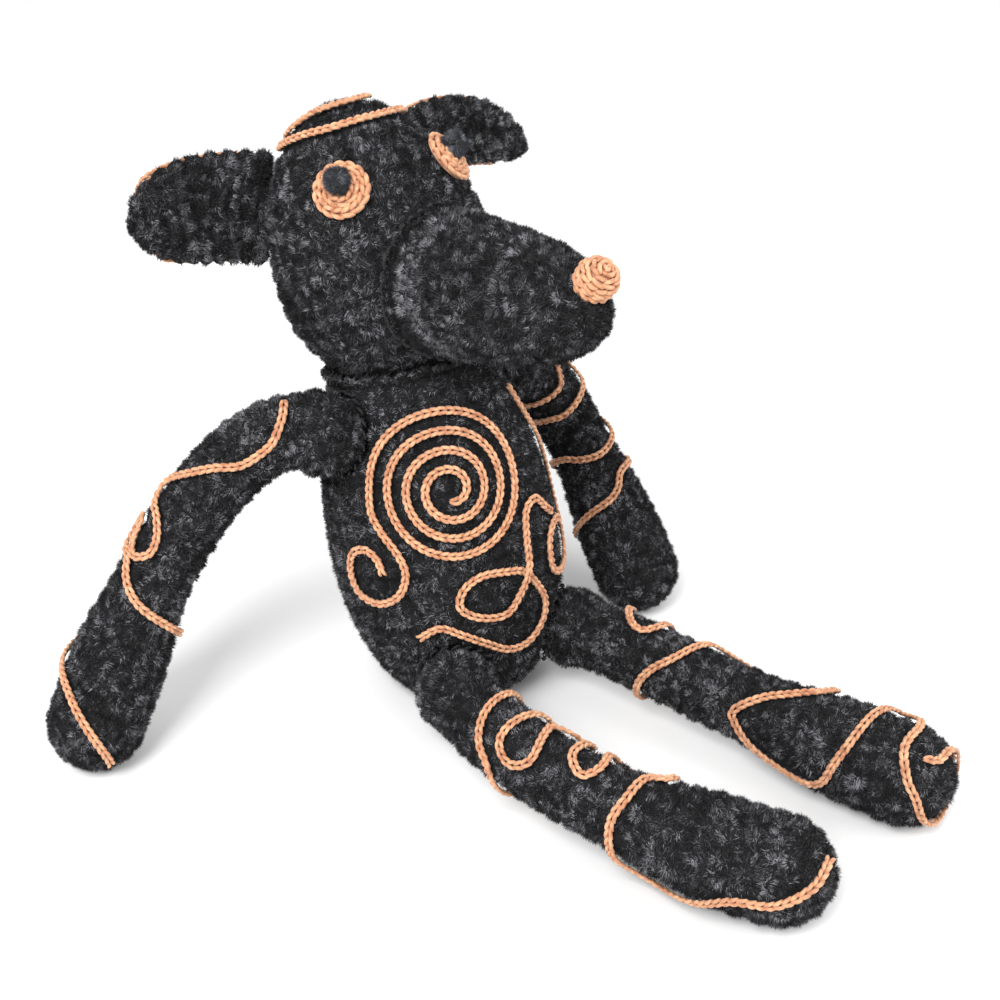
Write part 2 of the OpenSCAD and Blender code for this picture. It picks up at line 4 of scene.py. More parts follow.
import bpy
import numpy as np
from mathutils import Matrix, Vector


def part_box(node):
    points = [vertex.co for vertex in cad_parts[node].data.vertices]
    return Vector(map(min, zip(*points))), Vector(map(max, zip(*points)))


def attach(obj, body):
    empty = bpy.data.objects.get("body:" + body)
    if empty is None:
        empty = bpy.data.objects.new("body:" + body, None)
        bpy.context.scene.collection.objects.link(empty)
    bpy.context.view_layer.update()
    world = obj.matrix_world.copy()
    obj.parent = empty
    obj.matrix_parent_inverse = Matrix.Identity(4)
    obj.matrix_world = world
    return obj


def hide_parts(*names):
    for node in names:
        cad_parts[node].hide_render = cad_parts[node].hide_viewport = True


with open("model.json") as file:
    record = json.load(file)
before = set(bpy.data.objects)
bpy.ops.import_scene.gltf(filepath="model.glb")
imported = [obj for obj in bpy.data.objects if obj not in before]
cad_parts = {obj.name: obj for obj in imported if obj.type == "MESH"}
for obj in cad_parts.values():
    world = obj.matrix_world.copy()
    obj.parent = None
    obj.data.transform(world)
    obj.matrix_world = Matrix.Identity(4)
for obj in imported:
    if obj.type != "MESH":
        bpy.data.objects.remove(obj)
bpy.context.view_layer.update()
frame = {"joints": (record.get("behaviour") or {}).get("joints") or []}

# ---- camera, floor and light --------------------------------------------------
# The camera stands before the dog's right side, a little above it. The floor is
# a plain white table top, and a broad soft lamp stands high on the right side.

view_turn, view_rise = math.radians(-42), math.radians(31)
camera = bpy.data.objects.new("camera", bpy.data.cameras.new("camera"))
bpy.context.scene.collection.objects.link(camera)
bpy.context.scene.camera = camera
camera.data.lens = 51.2
camera.location = (-0.2654, -0.3084, 0.3192)
camera.rotation_mode = "QUATERNION"
camera.rotation_quaternion = Vector((math.sin(view_turn) * math.cos(view_rise),
                                     -math.cos(view_turn) * math.cos(view_rise),
                                     math.sin(view_rise))).to_track_quat("Z", "Y")


def linear(hex_colour):
    """An sRGB hex colour as linear red, green, blue and alpha: ((c + 0.055) / 1.055) ^ 2.4."""
    c = np.array([int(hex_colour[i:i + 2], 16) for i in (1, 3, 5)]) / 255
    return (*np.where(c <= 0.04045, c / 12.92, ((c + 0.055) / 1.055) ** 2.4), 1.0)


def add_node(tree, kind, sockets=None, **settings):
    """Adds a shader node with its settings, and fills its sockets with values or links."""
    made = tree.nodes.new("ShaderNode" + kind)
    for key, value in settings.items():
        setattr(made, key, value)
    for key, value in (sockets or {}).items():
        if isinstance(value, bpy.types.NodeSocket):
            tree.links.new(value, made.inputs[key])
        else:
            made.inputs[key].default_value = value
    return made


def new_material(name, **values):
    """A material by name, with plain values set on its shader's own sockets."""
    material = bpy.data.materials.new(name)
    material.use_nodes = True
    shader = material.node_tree.nodes["Principled BSDF"]
    for key, value in values.items():
        shader.inputs[key.replace("_", " ")].default_value = value
    return material, material.node_tree, shader


def put_mesh(name, points, faces, materials, face_material=None, smooth=True):
    """Puts points, in millimetres, and triangles into a new object, in metres.

    A closed form's faces are turned outwards by the sign of its volume.
    """
    corners = points[faces]
    volume = np.einsum("ij,ij->", corners[:, 0], np.cross(corners[:, 1], corners[:, 2]))
    if smooth and volume < 0:
        faces = faces[:, ::-1]
    mesh = bpy.data.meshes.new(name)
    mesh.vertices.add(len(points))
    mesh.vertices.foreach_set("co", (points / 1000).astype(np.float32).ravel())
    mesh.loops.add(faces.size)
    mesh.loops.foreach_set("vertex_index", faces.astype(np.int32).ravel())
    mesh.polygons.add(len(faces))
    mesh.polygons.foreach_set("loop_start", np.arange(0, faces.size, 3, dtype=np.int32))
    mesh.update(calc_edges=True)
    for material in materials:
        mesh.materials.append(material)
    if face_material is not None:
        mesh.polygons.foreach_set("material_index", face_material.astype(np.int32))
    mesh.polygons.foreach_set("use_smooth", np.full(len(faces), smooth))
    made = bpy.data.objects.new(name, mesh)
    bpy.context.scene.collection.objects.link(made)
    return made


# A laminate's fine matt grain scatters the light, so the table shows no mirror image.
table_white = new_material("matt white laminate", Base_Color=linear("#f6f6f6"), Roughness=0.7)[0]
floor_reach = 3000.0
floor_corners = np.array([[-1, -1, 0], [1, -1, 0], [1, 1, 0], [-1, 1, 0]]) * floor_reach
put_mesh("floor", floor_corners, np.array([[0, 1, 2], [0, 2, 3]]), [table_white])

world = bpy.data.worlds.new("pale room")
bpy.context.scene.world = world
world.use_nodes = True
backdrop = world.node_tree.nodes["Background"]
backdrop.inputs["Color"].default_value = linear("#ffffff")
backdrop.inputs["Strength"].default_value = 0.95
bpy.context.scene.view_settings.view_transform = "Standard"


def soft_lamp(name, place, size, power):
    """A square area lamp that shines from its place at the middle of the dog."""
    lamp = bpy.data.objects.new(name, bpy.data.lights.new(name, "AREA"))
    bpy.context.scene.collection.objects.link(lamp)
    lamp.data.size, lamp.data.energy = size, power
    lamp.location = place
    lamp.rotation_mode = "QUATERNION"
    lamp.rotation_quaternion = (Vector(place) - Vector((0, 0, 0.08))).to_track_quat("Z", "Y")


soft_lamp("key lamp", (-0.75, -0.35, 0.95), 0.5, 14)
soft_lamp("fill lamp", (0.5, -0.9, 0.7), 0.8, 5)

# ---- body ---------------------------------------------------------------------
# The body is one egg of crocheted chenille yarn, stuffed firm and flattened
# where it sits. Its dents take the neck and the round roots of the limbs. The
# yarn's short pile stands out all over it and hides the stitches' loops.

body_lean = math.radians(16)
body_length, body_radius, seat_sink = 144.5, 39.5, 2.6
body_low, body_blunt = 0.78, 0.42
sideways = np.array([1.0, 0, 0])
body_up = np.array([0, math.sin(body_lean), math.cos(body_lean)])
body_front = np.array([0, -math.cos(body_lean), math.sin(body_lean)])
pivot = {j["name"]: np.array(j["pos_m"]) * 1000 for j in frame["joints"]}
neck_cup, root_cup = 39.9, 16.7
dents = [(pivot["head_turn"], neck_cup)] + [
    (pivot[side + name], root_cup)
    for side in ("right_", "left_") for name in ("shoulder_swing", "hip_swing")]
seat_height, seat_squash = 0.6, 0.02

yarn_pitch = 6.3
ground_sink, stitch_rise = 1.8, 1.6
grid_step, ring_spokes = 1.1, 73


def across_radial(front, degrees):
    """Unit vectors at angles round an axis, from its front towards the left side."""
    a = np.radians(degrees)[..., None]
    return sideways * np.sin(a) + front * np.cos(a)


def body_radius_at(s):
    """Radius of the body's egg at heights s: r sin(pi t^0.78)^0.42, t from 0 to 1 along it."""
    t = np.clip(s / body_length, 1e-6, 1 - 1e-6)
    return body_radius * np.sin(np.pi * t ** body_low) ** body_blunt


def on_body(s, degrees, out=0.0):
    """Points of the body at heights s and angles, moved out along the surface's normal."""
    s = np.clip(s, 0.02, body_length - 0.02)
    radial = across_radial(body_front, degrees)
    slope = (body_radius_at(s + 0.1) - body_radius_at(s - 0.1)) / 0.2
    normal = radial - slope[..., None] * body_up
    normal /= np.linalg.norm(normal, axis=-1, keepdims=True)
    return (body_up * (s - seat_sink)[..., None] + radial * body_radius_at(s)[..., None]
            + normal * np.asarray(out)[..., None])


def body_skin(u, degrees, out=0.0):
    """The body's surface from its seat, u = 0, to its neck, u = 1.

    A point inside a dent's ball moves out from the ball's centre on to it, and what
    would hang below the seat's height is pressed flat on to it.
    """
    points = on_body(body_length * u, degrees, out)
    for centre, radius in dents:
        away = points - centre
        apart = np.linalg.norm(away, axis=-1, keepdims=True)
        sunk = radius - np.asarray(out)[..., None] * 0.5
        points = np.where(apart < sunk, centre + away / np.maximum(apart, 1e-6) * sunk, points)
    above = points[..., 2] - seat_height
    points[..., 2] = seat_height + np.where(above < 0, above * seat_squash, above)
    return points


def length_along(surface):
    """A surface's parameters u, close together, and the distance run along its line at angle 0."""
    u = (1 - np.cos(np.linspace(0, np.pi, 3001))) / 2
    line = surface(u, np.zeros_like(u))
    return u, np.concatenate([[0], np.cumsum(np.linalg.norm(np.diff(line, axis=0), axis=1))])


def crocheted(surface, seed, rise=stitch_rise, pitch=yarn_pitch):
    """Gives a surface its rows of stitches, and the stitches' own height from 0 to 1.

    Each stitch is a hump, the root of |sin| along by |sin| across, and each row holds
    as many stitches as its length takes.
    """
    fine, run = length_along(surface)
    rows = max(3, round(run[-1] / pitch))
    middles = np.interp((np.arange(rows) + 0.5) / rows * run[-1], run, fine)
    ring = surface(middles[:, None] + np.zeros(ring_spokes),
                   np.linspace(0, 360, ring_spokes) + np.zeros((rows, 1)))
    lengths = np.linalg.norm(np.diff(ring, axis=1), axis=2).sum(1)
    counts = np.maximum(5, np.round(lengths / pitch))
    starts = np.random.default_rng(seed).random(rows)

    def hump(u, degrees):
        row = np.interp(u, fine, run) / run[-1] * rows
        k = np.clip(row.astype(int), 0, rows - 1)
        return (np.abs(np.sin(np.pi * row))
                * np.abs(np.sin(np.pi * (degrees / 360 * counts[k] + starts[k])))) ** 0.5

    def stitched(u, degrees, out=0.0):
        return surface(u, degrees, out - ground_sink + rise * hump(u, degrees))
    return stitched, hump


def closed_faces(rings, sides):
    """Triangles of a closed form: a fan round each pole, and a band between each two rings."""
    j = np.arange(sides)
    k = (j + 1) % sides
    a = 1 + np.arange(rings - 1)[:, None] * sides
    band = np.concatenate([np.stack([a + j, a + j + sides, a + k], -1),
                           np.stack([a + k, a + j + sides, a + k + sides], -1)]).reshape(-1, 3)
    last = 1 + rings * sides
    fans = np.concatenate([np.stack([0 * j, 1 + j, 1 + k], -1),
                           np.stack([0 * j + last, last - sides + k, last - sides + j], -1)])
    return np.concatenate([fans, band])


def skin_mesh(name, surface, sides, materials):
    """A closed mesh over a surface: rings evenly apart along it, and a pole at each end."""
    fine, run = length_along(surface)
    rings = int(run[-1] / grid_step)
    u = np.interp(np.linspace(0, run[-1], rings + 2), run, fine)
    turn = np.arange(sides) * 360 / sides
    points = surface(u[1:-1, None] + 0 * turn, turn + 0 * u[1:-1, None]).reshape(-1, 3)
    poles = surface(u[[0, -1]], np.zeros(2))
    return put_mesh(name, np.concatenate([poles[:1], points, poles[1:]]),
                    closed_faces(rings, sides), materials)


# Random values repeat after so many cells, and a shift keeps every cell's number above 0.
lattice_side, lattice_shift = 32, 1000


def mottle(points, size, seed):
    """Smooth noise from 0 to 1 with lumps of a size.

    It is a cubic lattice of random values, blended between its corners by t^2 (3 - 2t).
    """
    lattice = np.random.default_rng(seed).random((lattice_side,) * 3)
    at = points / size + lattice_shift
    cell = np.floor(at).astype(int)
    t = at - cell
    t = t * t * (3 - 2 * t)
    total = np.zeros(len(points))
    for corner in np.ndindex(2, 2, 2):
        i, j, k = (cell + corner).T % lattice_side
        total += lattice[i, j, k] * np.prod(np.where(corner, t, 1 - t), axis=1)
    return total


tuft_slant = np.array([[0.36, 0.48, -0.8], [-0.8, 0.6, 0.0], [0.48, 0.64, 0.6]])
tuft_size = np.array([1.9, 1.9, 3.6])
bend_size, bend_reach = 2.4, 1.6


def tufts(points, seed):
    """Four random numbers from 0 to 1 for the tuft each point belongs to.

    The tufts are slanted cells of a lattice, with edges that smooth noise bends.
    """
    values = np.random.default_rng(seed).random((4,) + (lattice_side,) * 3)
    bent = np.stack([mottle(points, bend_size, seed + i) for i in (1, 2, 3)], -1) * bend_reach
    cell = np.floor(points @ tuft_slant.T / tuft_size + bent + lattice_shift).astype(int)
    i, j, k = cell.T % lattice_side
    return values[:, i, j, k]


def frame_on(surface, u, degrees):
    """Points of a surface, and their unit normals.

    A normal is the cross product of a small step round and a small step along.
    """
    step_round, step_along = 0.6, 0.002
    along = (surface(np.clip(u + step_along, 0, 1), degrees)
             - surface(np.clip(u - step_along, 0, 1), degrees))
    around = surface(u, degrees + step_round) - surface(u, degrees - step_round)
    normal = np.cross(around, along)
    size = np.linalg.norm(normal, axis=1, keepdims=True)
    return surface(u, degrees), normal / np.maximum(size, 1e-9)


# The pile of chenille yarn: cut fibres of spun polyester, dyed charcoal, too fine
# to show one by one, so each blade stands for a small tuft of them. A tuft is one
# plain shade, with the soft rim of light that short fibres catch.
def pile_material(name, shade, sheen):
    """Short polyester fibres in one shade: rough, hardly glossy, with a rim of light."""
    return new_material(name, Base_Color=linear(shade), Roughness=0.85, Sheen_Weight=sheen,
                        Sheen_Roughness=0.5, Specular_IOR_Level=0.15)[0]


pile_shades = [pile_material("chenille pile deep charcoal", "#131315", 0.08),
               pile_material("chenille pile charcoal", "#2c2c2e", 0.14),
               pile_material("chenille pile grey", "#535357", 0.20),
               pile_material("chenille pile pale grey", "#85858a", 0.25)]
shade_ends = (0.40, 0.74, 0.93)
pile_length, pile_width = 2.0, 0.32
lump_size = 7.0
# The stitch share is painted shade: blades low between the stitches get darker shades than blades on
# the stitches' tops.
tuft_share, lump_share, stitch_valley_shade_share, own_share = 0.34, 0.20, 0.14, 0.32


def off_chains(points, chains):
    """True where a point lies clear of the named chains' beds.

    Beds and points share a grid whose cells are numbered, and a point goes when its
    cell is one of those within the bed's reach of a bed's point.
    """
    cell, reach, grid_side = 0.6, 1.75, 4096
    near = np.stack(np.meshgrid(*[np.arange(-3, 4)] * 3), -1).reshape(-1, 3)
    near = near[(near ** 2).sum(1) <= (reach / cell) ** 2] + grid_side // 2
    places = np.array([1, grid_side, grid_side ** 2])
    bed = np.concatenate([chain_beds[name] for name in chains])
    taken = ((np.floor(bed[:, None] / cell).astype(int) + near) @ places).ravel()
    own = (np.floor(points / cell).astype(int) + grid_side // 2) @ places
    return ~np.isin(own, np.unique(taken))


def pile_mesh(name, knit, count, seed, keep=None, chains=(), tint=None, length=pile_length):
    """Blades of pile over a knitted surface, spread evenly by area.

    Each is one thin triangle from a wide root to a point. The blades of a tuft lean the
    same way by 15 to 60 degrees, each with a random part of its own, and share most of
    their shade: the shade's number is a blade's rank by the sum of its four shares.
    """
    surface, hump = knit
    root_depth, lowest = 0.3, 0.15
    rng = np.random.default_rng(seed)
    u = (1 - np.cos(np.linspace(0, np.pi, 181))) / 2
    turn = np.linspace(0, 360, 121)
    grid = surface(u[:, None] + 0 * turn, turn + 0 * u[:, None])
    patch = np.cross(np.diff(grid, axis=0)[:, :-1], np.diff(grid, axis=1)[:-1])
    area = np.linalg.norm(patch, axis=2)
    i, j = np.divmod(rng.choice(area.size, count, p=area.ravel() / area.sum()), area.shape[1])
    uu = u[i] + rng.random(count) * (u[i + 1] - u[i])
    aa = turn[j] + rng.random(count) * (turn[j + 1] - turn[j])
    root, normal = frame_on(surface, uu, aa)
    normal *= np.sign(np.einsum("ij,ij->i", normal, root - grid.reshape(-1, 3).mean(0)).mean())
    kept = keep(root) if keep else np.full(count, True)
    if chains:
        kept &= off_chains(root, chains)
    root, normal, stitch = root[kept], normal[kept], hump(uu, aa)[kept]
    count = len(root)
    of_tuft = tufts(root, seed)
    lean = np.radians(15 + 45 * of_tuft[0] + rng.uniform(-8, 12, count))[:, None]
    combed = (of_tuft[1:] - 0.5).T * 1.6 + rng.normal(size=(count, 3)) * 0.22
    combed -= normal * np.einsum("ij,ij->i", combed, normal)[:, None]
    combed /= np.linalg.norm(combed, axis=1, keepdims=True)
    way = normal * np.cos(lean) + combed * np.sin(lean)
    wide = np.cross(way, normal + rng.normal(size=(count, 3)) * 0.35)
    wide *= pile_width / 2 / np.linalg.norm(wide, axis=1, keepdims=True)
    reach = length * rng.uniform(0.65, 1.15, (count, 1))
    root = root - normal * root_depth
    points = np.stack([root - wide, root + wide, root + way * reach], 1).reshape(-1, 3)
    points[:, 2] = np.maximum(points[:, 2], lowest)
    # The stitch share and the tint paint light and shade into the tone; the other shares differ at
    # random.
    tone = (tuft_share * of_tuft[0] + lump_share * mottle(root, lump_size, seed + 9)
            + stitch_valley_shade_share * stitch + own_share * rng.random(count)) + (tint(root) if tint else 0)
    tone = np.argsort(np.argsort(tone)) / count
    return put_mesh(name, points, np.arange(3 * count).reshape(-1, 3), pile_shades,
                    np.digitize(tone, shade_ends), smooth=False)


def yarn_dye(tree, shader, patch, dark, pale, span=(0.0, 1.0)):
    """Lets a yarn's colour run between two tones in soft patches of a size in metres."""
    place = add_node(tree, "TexCoord").outputs["Object"]
    detail = 2.0 if patch < 0.002 else 3.0
    patches = add_node(tree, "TexNoise", {"Vector": place, "Scale": 1 / patch, "Detail": detail})
    tones = add_node(tree, "ValToRGB", {"Fac": patches.outputs["Fac"]})
    for stop, colour, position in zip(tones.color_ramp.elements, (dark, pale), span):
        stop.color, stop.position = linear(colour), position
    tree.links.new(tones.outputs["Color"], shader.inputs["Base Color"])
    return place


def yarn_relief(tree, shader, place, size, height, strength):
    """Roughens a yarn's surface with fibres of a size and a height in metres."""
    fibres = add_node(tree, "TexNoise", {"Vector": place, "Scale": 1 / size, "Detail": 2.0})
    relief = add_node(tree, "Bump", {"Height": fibres.outputs["Fac"], "Distance": height,
                                     "Strength": strength})
    tree.links.new(relief.outputs["Normal"], shader.inputs["Normal"])


# The ground under the pile: the cores of the chenille yarn, worked into loops. It is
# dull, and its colour is the yarn's charcoal painted down to near black, as painted shade from the
# pile over it.
chenille_ground, tree, shader = new_material("crocheted chenille ground", Roughness=0.95,
                                             Specular_IOR_Level=0.1)
place = yarn_dye(tree, shader, 0.005, "#0d0d0e", "#2b2b2d")
yarn_relief(tree, shader, place, 0.0007, 0.0004, 0.6)


def padded_piece(name, node, body, surface, sides):
    """A stuffed skin over a surface that takes the place of its plain solid and rides on its body."""
    made = skin_mesh(name, surface, sides, [chenille_ground])
    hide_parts(*node)
    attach(made, body)
    return made


def pile_piece(name, body, *args, **settings):
    """The pile of a skin, which rides with it."""
    made = pile_mesh(name, *args, **settings)
    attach(made, body)
    return made


def outside_dents(points):
    """True where a point of the body lies clear of the dents and of the floor."""
    margin = 0.9
    clear = points[:, 2] > margin
    for centre, radius in dents:
        clear &= np.linalg.norm(points - centre, axis=1) > radius - margin
    return clear


body_knit = crocheted(body_skin, 11)
padded_piece("body_fabric", ["torso_skin", "torso_stuffing"], "torso", body_knit[0], 220)

# ---- caramel chains -----------------------------------------------------------
# Lengths of crochet chain in smooth mercerised cotton, worked with a fine hook
# and sewn flat on to the toy after it was stuffed. Each stitch is a V of two
# leaning loops, tucked into the stitch before it.

chain_pitch, chain_half, loop_radius = 2.55, 1.06, 0.66
chain_lift = 0.7
chain_beds = {}

# Mercerising gives the cotton a faint silky sheen, and its plies show as a fine grain.
cotton, tree, shader = new_material("mercerised cotton yarn", Roughness=0.55, Sheen_Weight=0.25,
                                    Sheen_Roughness=0.4, Specular_IOR_Level=0.35)
place = yarn_dye(tree, shader, 0.0022, "#a66a49", "#deaa82", (0.3, 0.7))
yarn_relief(tree, shader, place, 0.0004, 0.00015, 0.5)


def smooth_way(way, steps=8):
    """A curve through way points, the Catmull-Rom cubic between each two of them."""
    w = np.array([p + (0,) * (3 - len(p)) for p in map(tuple, way)], float)
    i = np.arange(len(w) - 1)
    a, b, c, d = w[np.maximum(i - 1, 0)], w[i], w[i + 1], w[np.minimum(i + 2, len(w) - 1)]
    t = (np.arange(steps) / steps)[:, None, None]
    made = 0.5 * (2 * b + (c - a) * t + (2 * a - 5 * b + 4 * c - d) * t ** 2
                  + (3 * b - a - 3 * c + d) * t ** 3)
    return np.concatenate([made.transpose(1, 0, 2).reshape(-1, 3), w[-1:]])


def loops_points(path, normal, stitch, along, side, rise, radius):
    """Points and triangles of short loops of yarn laid along a path.

    A loop's centre line is given by its distances along, in stitches, and to the side
    and up, in millimetres. Each loop is a closed tube of 7 rings with 6 sides.
    """
    sides = 6
    run = np.concatenate([[0], np.cumsum(np.linalg.norm(np.diff(path, axis=0), axis=1))])
    count = max(1, round(run[-1] / stitch))
    step = run[-1] / count
    at = (np.arange(count) + 0.5)[:, None, None] * step + along * step
    inside = np.clip(at, 0, run[-1])
    centre, up, way = (np.stack([np.interp(inside, run, track[:, i]) for i in range(3)], -1)
                       for track in (path, normal, np.gradient(path, run, axis=0)))
    way /= np.linalg.norm(way, axis=-1, keepdims=True)
    up -= way * np.einsum("...i,...i->...", up, way)[..., None]
    up /= np.linalg.norm(up, axis=-1, keepdims=True)
    left = np.cross(up, way)
    core = centre + way * (at - inside)[..., None] + left * side[..., None] + up * rise[..., None]
    a = np.arange(sides)[:, None] * np.pi / 3
    spoke = left[..., None, :] * np.cos(a) + up[..., None, :] * np.sin(a)
    tube = core[..., None, :] + spoke * radius[..., None, None]
    rings = radius.shape[-1] - 2
    loops = tube[:, :, 1:-1].reshape(-1, rings * sides, 3)
    ends = core.reshape(-1, rings + 2, 3)
    loops = np.concatenate([ends[:, :1], loops, ends[:, -1:]], 1)
    first = (np.arange(len(loops)) * loops.shape[1])[:, None, None]
    return loops.reshape(-1, 3), (closed_faces(rings, sides) + first).reshape(-1, 3)


def chain_loops():
    """The centre lines of a chain stitch's two loops.

    They start together, tucked low, part to both sides as they go on, and end low
    beneath the next stitch.
    """
    t = np.linspace(0, 1, 9)
    sign = np.array([-1, 1])[:, None]
    along = -0.55 + 1.5 * t + 0 * sign
    side = sign * chain_half * (0.22 + 0.78 * t ** 0.8)
    rise = 0.95 * np.sin(np.pi * np.clip(t * 0.95, 0, 1)) ** 0.8 + 0 * sign
    radius = loop_radius * np.sin(np.pi * (0.06 + 0.88 * t)) ** 0.55 + 0 * sign
    return along, side, rise - 0.15, radius


def chain_piece(name, body, path, normal):
    """A chain along a path that takes the place of its plain solid and rides on its body.

    Its bed, under it, is kept so that no pile grows through it.
    """
    made = put_mesh(name + "_stitches",
                    *loops_points(path, normal, chain_pitch, *chain_loops()), [cotton])
    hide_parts(name)
    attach(made, body)
    bed = path - normal * (chain_lift + 0.9)
    run = np.concatenate([[0], np.cumsum(np.linalg.norm(np.diff(bed, axis=0), axis=1))])
    even = np.arange(0, run[-1], 0.5)
    chain_beds[name] = np.stack([np.interp(even, run, bed[:, i]) for i in range(3)], -1)


def surface_path(on_surface, first, second, lift=0.0):
    """A path on a surface, with its normals.

    A normal is the difference between the path and the same path a little further out.
    """
    step = 0.5
    low = on_surface(first, second, chain_lift + lift)
    return low, (on_surface(first, second, chain_lift + lift + step) - low) / step


# The spiral on the belly winds out from its middle, then leaves to the right
# side and ends in a small curl of its own.
spiral_s, spiral_turn, spiral_pitch = 86.0, -27.0, 5.95
spiral_start, spiral_end = 250, 1610
spiral_tail = [(-27, -3), (-25, -10), (-21, -18), (-20, -25), (-24, -32), (-32, -35),
               (-40, -32), (-42, -25), (-39, -18), (-33, -16), (-29, -19), (-28, -24)]
angle = np.radians(np.arange(spiral_start, spiral_end, 5.0))
reach = spiral_pitch * angle / (2 * np.pi) - 0.8
winding = np.stack([reach * np.cos(angle), reach * np.sin(angle)], 1)
tail = smooth_way([winding[-4], winding[-1]] + spiral_tail)[9:, :2]
# The scroll starts at the left, loops over itself and ends low on the right.
scroll_s, scroll_turn = 50.0, -10.0
over_height = 2.6
scroll_way = [(29, 14, 0), (24, 18, 0), (19, 23, 0), (13, 21, 0), (10, 12, 0.2), (7, 3, 1),
              (3.5, -5, 0.2), (-2, -10, 0), (-11, -8, 0), (-16.5, -3, 0), (-14.5, 3, 0),
              (-8, 6, 0), (1, 4.5, 0), (7, 2, 0), (12, -5, 0), (15, -12, 0), (13, -19, 0),
              (6, -24, 0), (-2, -23.5, 0), (-10, -18, 0), (-17, -13, 0), (-24, -9, 0),
              (-31, -12, 0)]
side_way = [(58, 44), (61, 36), (60, 27), (55, 21.5), (47, 22), (43.5, 30), (44, 42),
            (50, 54), (60, 62), (72, 62), (86, 54), (97, 42), (108, 36)]


def belly_path(way, s, turn):
    """A path on the body from way points across and up from a centre, in millimetres.

    A third number lifts a point by that share of the height of one chain over another.
    """
    height = s + way[:, 1]
    degrees = turn + np.degrees(way[:, 0] / body_radius_at(height))
    lift = way[:, 2] * over_height if way.shape[1] > 2 else 0 * height
    return surface_path(on_body, height, degrees, lift)


chain_piece("belly_spiral_chain", "torso",
            *belly_path(np.concatenate([winding, tail]), spiral_s, spiral_turn))
chain_piece("belly_scroll_chain", "torso",
            *belly_path(smooth_way(scroll_way), scroll_s, scroll_turn))
side_points = smooth_way(side_way)
chain_piece("side_chain", "torso", *surface_path(on_body, side_points[:, 0], side_points[:, 1]))
pile_piece("body_pile", "torso", body_knit, 197000, 12, keep=outside_dents,
           chains=("belly_spiral_chain", "belly_scroll_chain", "side_chain"))

# ---- head ---------------------------------------------------------------------
# The head is its own stuffed ball, round below and drawn up to a blunt point at
# the crown, worked in the same yarn. It sits in the body's hollow neck.

head_lean = math.radians(27)
head_radius, crown_height = 36.0, 56.0
head_up = np.array([0, math.sin(head_lean), math.cos(head_lean)])
head_front = np.array([0, -math.cos(head_lean), math.sin(head_lean)])
neck_ball = pivot["head_turn"]


def on_head(h, degrees, out=0.0):
    """Points of the head at heights h above its ball's centre, moved out along the normal.

    The head is a half sphere below that centre and a half ellipsoid above.
    """
    h = np.asarray(h, float)
    tall = np.where(h > 0, crown_height, head_radius)
    r = head_radius * np.sqrt(np.clip(1 - (h / tall) ** 2, 0, 1))
    radial = across_radial(head_front, degrees)
    normal = radial * (r / head_radius ** 2)[..., None] + head_up * (h / tall ** 2)[..., None]
    normal /= np.linalg.norm(normal, axis=-1, keepdims=True)
    return (neck_ball + head_up * h[..., None] + radial * r[..., None]
            + normal * np.asarray(out)[..., None])


# The crown's chain winds once round the head and ends inside its own turn.
crown_way = [(46, -230), (47, -160), (46.8, -115), (46.4, -71), (45.5, -42), (45.5, -17),
             (45.5, 2), (46.5, 60), (47.8, 120), (48.8, 180), (50, 245), (51, 269),
             (52.3, 294), (52.5, 320), (52.6, 360), (53.4, 410)]
crown_points = smooth_way(crown_way)
chain_piece("head_chain", "head", *surface_path(on_head, crown_points[:, 0], crown_points[:, 1]))

# ---- snout --------------------------------------------------------------------
# The snout is a long tapered tube with a round end, worked apart, stuffed, and
# sewn to the front of the head. The sewing draws in both its own fabric and the
# head's, so the head's fabric is made here too.

snout_length, snout_base_radius, snout_tip_radius = 69.5, 23.8, 16.2
snout_rise = math.radians(8)
snout_forward, snout_drop = 28.0, 8.4
snout_round_from, snout_blunt = 0.46, 2.6
snout_flat, snout_base_depth = 0.12, 0.5
head_draw, head_draw_reach = 2.4, 2.4
snout_draw, snout_draw_reach = 2.2, 2.6
snout_way = np.array([0, -math.cos(snout_rise), math.sin(snout_rise)])
snout_top = np.array([0, math.sin(snout_rise), math.cos(snout_rise)])
snout_base = neck_ball + head_front * snout_forward - head_up * snout_drop


def snout_radius_at(x):
    """Radius of the snout: a cone whose last half rounds off by sqrt(1 - e^2.6)."""
    t = np.clip(x / snout_length, 0, 1)
    e = np.clip((t - snout_round_from) / (1 - snout_round_from), 0, 1)
    cone = snout_base_radius + (snout_tip_radius - snout_base_radius) * t
    return cone * np.sqrt(1 - e ** snout_blunt)


def beside_snout(points):
    """Distance of points outside the snout, and far away behind its base."""
    away = points - snout_base
    x = away @ snout_way
    beside = np.linalg.norm(away - x[..., None] * snout_way, axis=-1) - snout_radius_at(x)
    return np.where(x > 0, np.maximum(beside, 0), 99.0)


def past_head(points):
    """Distance of points outside the head, as a share of its size times its radius."""
    away = points - neck_ball
    h = away @ head_up
    r = np.linalg.norm(away - h[..., None] * head_up, axis=-1)
    return head_radius * (np.sqrt((h / crown_height) ** 2 + (r / head_radius) ** 2) - 1)


def head_skin(u, degrees, out=0.0):
    """The head's surface from its lowest point, u = 0, to its crown, u = 1.

    The sewing draws it in beside the snout, by 2.4 exp(-(d / 2.4)^2) at a distance d.
    """
    rise = np.sin(np.pi * (u - 0.5))
    h = np.where(rise > 0, crown_height, head_radius) * rise
    apart = beside_snout(on_head(h, degrees))
    return on_head(h, degrees, out - head_draw * np.exp(-(apart / head_draw_reach) ** 2))


head_knit = crocheted(head_skin, 21)
padded_piece("head_fabric", ["head_skin", "head_stuffing"], "head", head_knit[0], 200)


def on_snout(x, degrees, out=0.0):
    """Points of the snout at distances x, moved out from its axis, and forwards at its tip."""
    end = np.clip((x / snout_length - snout_round_from) / (1 - snout_round_from), 0, 1) ** 6
    r = snout_radius_at(x) + out * np.sqrt(1 - end)
    return (snout_base + snout_way * (x + out * end)[..., None]
            + across_radial(snout_top, degrees) * r[..., None])


